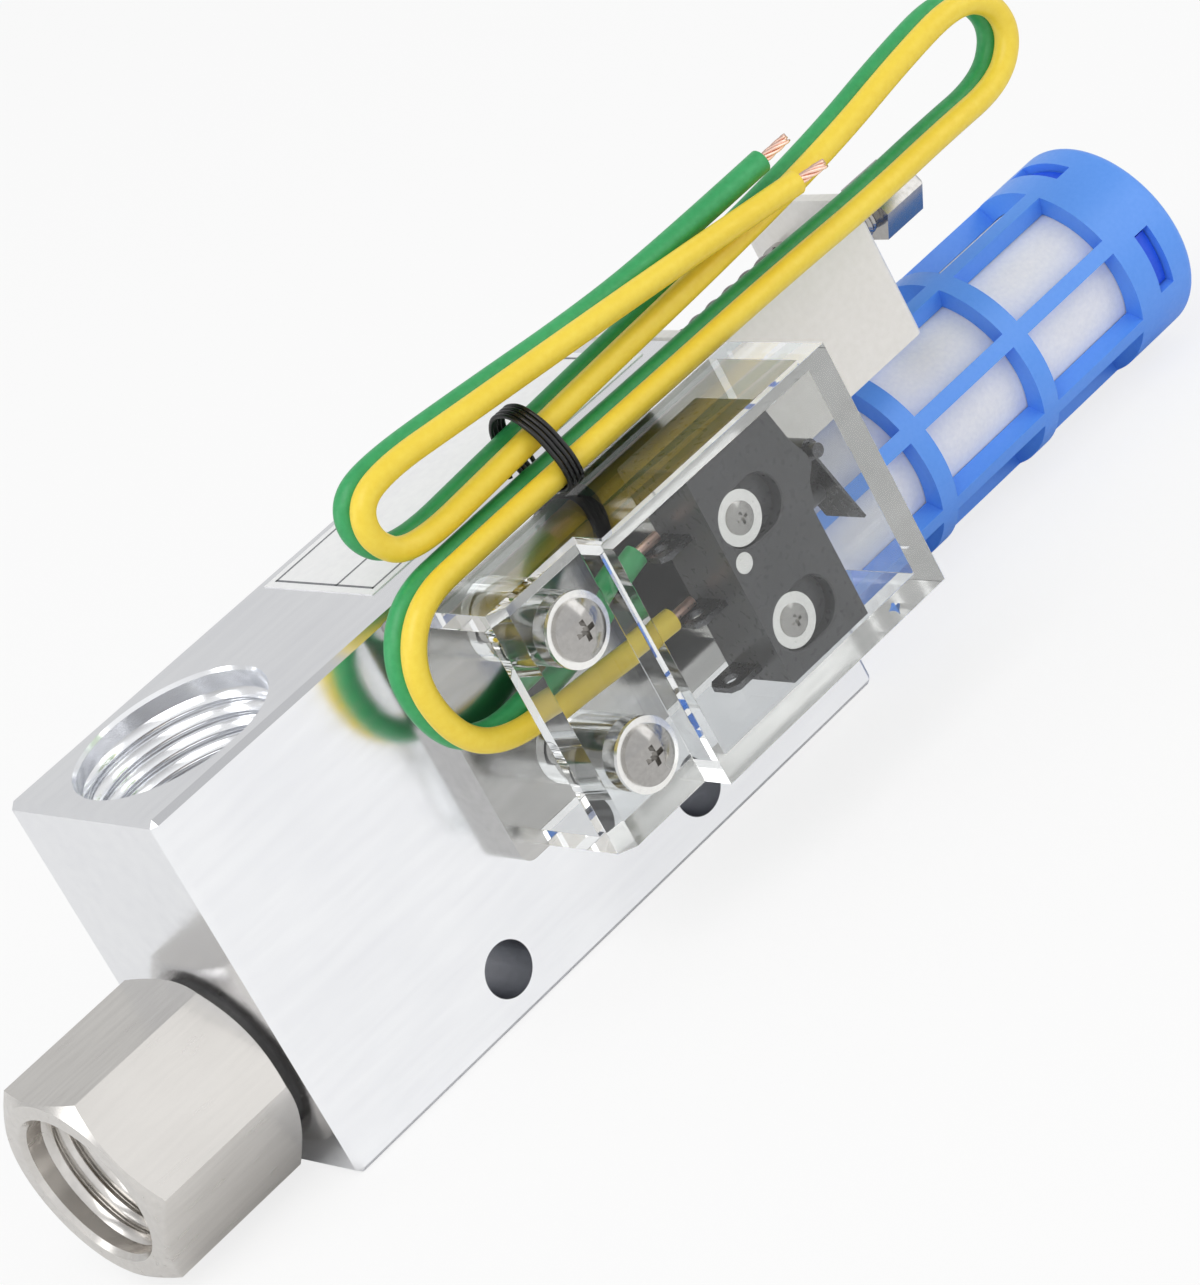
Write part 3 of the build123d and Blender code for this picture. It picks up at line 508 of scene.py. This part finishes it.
def strands(node, route):
    """Twisted copper strands that stand out of the stripped end."""
    low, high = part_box(node)
    end = Vector(route[-1])
    heading = (end - Vector(route[-2])).normalized()
    length = (high.x - low.x) / heading.x * strand_reach
    side, other = across(heading)
    points, faces = [], []
    for strand in range(strand_count):
        off = 0.0 if strand == 0 else 2.0 * strand_radius
        reach = length * (1 - strand_cut * (strand % 3))
        for ring in range(strand_rings + 1):
            share = ring / strand_rings
            turn = 2 * pi * strand / (strand_count - 1) + strand_twist * share
            middle = end + heading * (reach * share - strand_tuck * (1 - share))
            middle += (side * cos(turn) + other * sin(turn)) * off
            radius = strand_radius * (strand_tip if ring == strand_rings else 1.0)
            for corner in range(strand_sides):
                around = 2 * pi * corner / strand_sides
                points.append(middle + (side * cos(around) + other * sin(around)) * radius)
        first = strand * (strand_rings + 1) * strand_sides
        last = first + strand_rings * strand_sides
        for near in range(first, last, strand_sides):
            far = near + strand_sides
            for corner in range(strand_sides):
                after = (corner + 1) % strand_sides
                faces.append((near + corner, near + after, far + after, far + corner))
        faces.append([last + corner for corner in range(strand_sides)])
    made = piece(node + "_strands", points, faces, looks["copper_strand"], "base")
    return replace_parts(made, node)


yellow_wire = wire("yellow_wire", yellow_route, "yellow_insulation")
green_wire = wire("green_wire", green_route, "green_insulation")
yellow_strands = strands("yellow_core", yellow_route)
green_strands = strands("green_core", green_route)


# Broken edges on the large pieces
def eased(node, edge, gap=0.0):
    shape = bmesh.new()
    shape.from_mesh(nodes[node].data)
    bmesh.ops.dissolve_limit(
        shape, angle_limit=flat_angle, verts=shape.verts, edges=shape.edges
    )
    corners = [
        side for side in shape.edges
        if side.is_manifold and side.calc_face_angle() > corner_angle
    ]
    bmesh.ops.bevel(
        shape, geom=corners, offset=edge, segments=edge_segments, profile=0.5, affect="EDGES"
    )
    shape.normal_update()
    for point in shape.verts:
        point.co -= point.normal * point.calc_shell_factor() * gap
    mesh = bpy.data.meshes.new(node + "_eased")
    shape.to_mesh(mesh)
    shape.free()
    mesh.shade_smooth()
    mesh.set_sharp_from_angle(angle=crease_angle)
    slot = slots[node]
    mesh.materials.append(looks[slot])
    made = show(node + "_eased", mesh)
    made.matrix_world = nodes[node].matrix_world
    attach(made, "base")
    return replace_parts(made, node)


eased("clear_cover", cover_edge, cover_gap)
for node in ("body_block", "base_plate", "spring_bracket"):
    eased(node, metal_edge)

# Pull spring: a copy of the CAD spring, with its placement baked into its points
spring = show("pull_spring_coil", nodes["pull_spring"].data.copy())
spring.matrix_world = nodes["pull_spring"].matrix_world
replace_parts(spring, "pull_spring")
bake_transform(spring)

# Threads in the two ports and on the setting screw
port = mounts["vacuum_port"]
block_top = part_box("body_block")[1].z
thread(
    "port_thread", (port["pos_m"][0], port["pos_m"][1], block_top - port_land), (0, 0, -1),
    port["dims"]["r_mm"] * mm, -pipe_ridge, pipe_pitch, port_thread_length,
    "anodised_block", "base",
)
inlet = mounts["air_inlet"]
inlet_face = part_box("inlet_fitting")[0].x
thread(
    "inlet_thread", (inlet_face + inlet_land, inlet["pos_m"][1], inlet["pos_m"][2]), (1, 0, 0),
    inlet["dims"]["r_mm"] * mm, -pipe_ridge, pipe_pitch, inlet_thread_length,
    "nickel_fitting", "base",
)
bracket_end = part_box("spring_bracket")[1].x
screw_low, screw_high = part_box("adjusting_screw")
screw_axis_z = (screw_low.z + screw_high.z) / 2
thread(
    "setting_thread", (bracket_end + screw_land, 0, screw_axis_z), (1, 0, 0),
    screw_radius, screw_ridge, screw_pitch, screw_thread_length,
    "bright_screw", "setting_screw",
)


# Label sheet, bare but for its border and one divider
def slabs(name, rectangles, bottom, top, material):
    points, faces = [], []
    quads = ((0, 3, 2, 1), (4, 5, 6, 7), (0, 1, 5, 4), (1, 2, 6, 5), (2, 3, 7, 6), (3, 0, 4, 7))
    for (low_x, low_y), (high_x, high_y) in rectangles:
        start = len(points)
        for z in (bottom, top):
            points.extend(
                ((low_x, low_y, z), (high_x, low_y, z), (high_x, high_y, z), (low_x, high_y, z))
            )
        faces.extend(tuple(start + corner for corner in quad) for quad in quads)
    return piece(name, points, faces, material, "base", smooth=False)


label_top = block_top + label_thick
slabs("label_sheet", [(label_low, label_high)], block_top - label_sink, label_top, label_paper)
low_x, low_y = label_low[0] + label_margin, label_low[1] + label_margin
high_x, high_y = label_high[0] - label_margin, label_high[1] - label_margin
divider_y = low_y + label_divider
label_rules = [
    ((low_x, low_y), (high_x, low_y + label_line)),
    ((low_x, high_y - label_line), (high_x, high_y)),
    ((low_x, low_y), (low_x + label_line, high_y)),
    ((high_x - label_line, low_y), (high_x, high_y)),
    ((low_x, divider_y), (high_x, divider_y + label_line)),
]
slabs(
    "label_lines", label_rules, label_top - label_line_half, label_top + label_line_half,
    label_ink,
)


# Floor
def floor_material():
    material = bpy.data.materials.new("floor")
    material.use_nodes = True
    tree = material.node_tree
    shader = tree.nodes["Principled BSDF"]
    shader.inputs["Base Color"].default_value = floor_tone
    shader.inputs["Roughness"].default_value = floor_gloss
    shader.inputs["Specular IOR Level"].default_value = 0.0
    path = tree.nodes.new("ShaderNodeLightPath").outputs
    place = shader_node(tree, "ShaderNodeSeparateXYZ", {0: object_place(tree)})
    in_front = remap(tree, place.outputs["Y"], floor_dark_y, floor_light_y)
    mirrored = calc(tree, "MULTIPLY", path["Is Glossy Ray"], in_front)
    shown = calc(tree, "MAXIMUM", seen_directly(tree, path), mirrored)
    share = calc(tree, "MULTIPLY", shown, floor_glow)
    glow = tree.nodes.new("ShaderNodeEmission")
    mixed = mix_shaders(tree, share, shader.outputs[0], glow.outputs[0])
    feed(tree, tree.nodes["Material Output"].inputs["Surface"], mixed)
    return material


floor_mesh = bpy.data.meshes.new("floor")
floor_corners = [(-1, -1), (1, -1), (1, 1), (-1, 1)]
floor_mesh.from_pydata(
    [(x * floor_half, y * floor_half, 0) for x, y in floor_corners], [], [(0, 1, 2, 3)]
)
floor = show("floor", floor_mesh)
floor_mesh.materials.append(floor_material())


# World: white where it is seen, softer where it lights, falling off where metal mirrors it
def backdrop(tree, colour, strength):
    sockets = {"Color": colour, "Strength": strength}
    return shader_node(tree, "ShaderNodeBackground", sockets).outputs[0]


def light_world(tree):
    tree.nodes.clear()
    path = tree.nodes.new("ShaderNodeLightPath").outputs
    place = tree.nodes.new("ShaderNodeTexCoord").outputs["Generated"]
    split = shader_node(tree, "ShaderNodeSeparateXYZ", {0: place}).outputs
    ramp = shader_node(tree, "ShaderNodeValToRGB", {"Fac": split["Z"]})
    bands = ramp.color_ramp.elements
    bands.new(mirror_bands[1][0])
    for band, (height, colour) in zip(bands, mirror_bands):
        band.position = height
        band.color = colour
    strength = remap(tree, split["Y"], -1.0, 1.0, mirror_front, mirror_back)
    mirrored = backdrop(tree, ramp.outputs["Color"], strength)
    light = backdrop(tree, white, world_light)
    unseen = mix_shaders(tree, path["Is Glossy Ray"], light, mirrored)
    seen = backdrop(tree, white, 1.0)
    shown = mix_shaders(tree, seen_directly(tree, path), unseen, seen)
    feed(tree, tree.nodes.new("ShaderNodeOutputWorld").inputs["Surface"], shown)


world = bpy.data.worlds.new("studio")
bpy.context.scene.world = world
world.use_nodes = True
light_world(world.node_tree)


# Soft lamps
def lamp(name, location, target, size, power):
    data = bpy.data.lights.new(name, "AREA")
    data.shape = "RECTANGLE"
    data.size, data.size_y = size
    data.energy = power
    made = show(name, data)
    made.location = location
    made.rotation_mode = "QUATERNION"
    made.rotation_quaternion = (Vector(target) - Vector(location)).to_track_quat("-Z", "Y")


centre = (cad_box[0] + cad_box[1]) / 2
for name, (location, size, power) in lamps.items():
    lamp(name, location, centre, size, power)

# Camera at the photograph's angle
camera_data = bpy.data.cameras.new("camera")
camera_data.lens = camera_lens
camera_data.sensor_width = camera_sensor
camera_data.clip_start = camera_near
camera_data.clip_end = camera_far
camera = show("camera", camera_data)
turned = Matrix((camera_right, camera_up, camera_back)).transposed().to_4x4()
camera.matrix_world = Matrix.Translation(camera_place) @ turned
bpy.context.scene.camera = camera
bpy.context.scene.view_settings.view_transform = "Standard"
bpy.context.scene.cycles.max_bounces = clear_bounces
bpy.context.scene.cycles.glossy_bounces = mirror_bounces
bpy.context.scene.cycles.transmission_bounces = clear_bounces

bpy.context.view_layer.update()
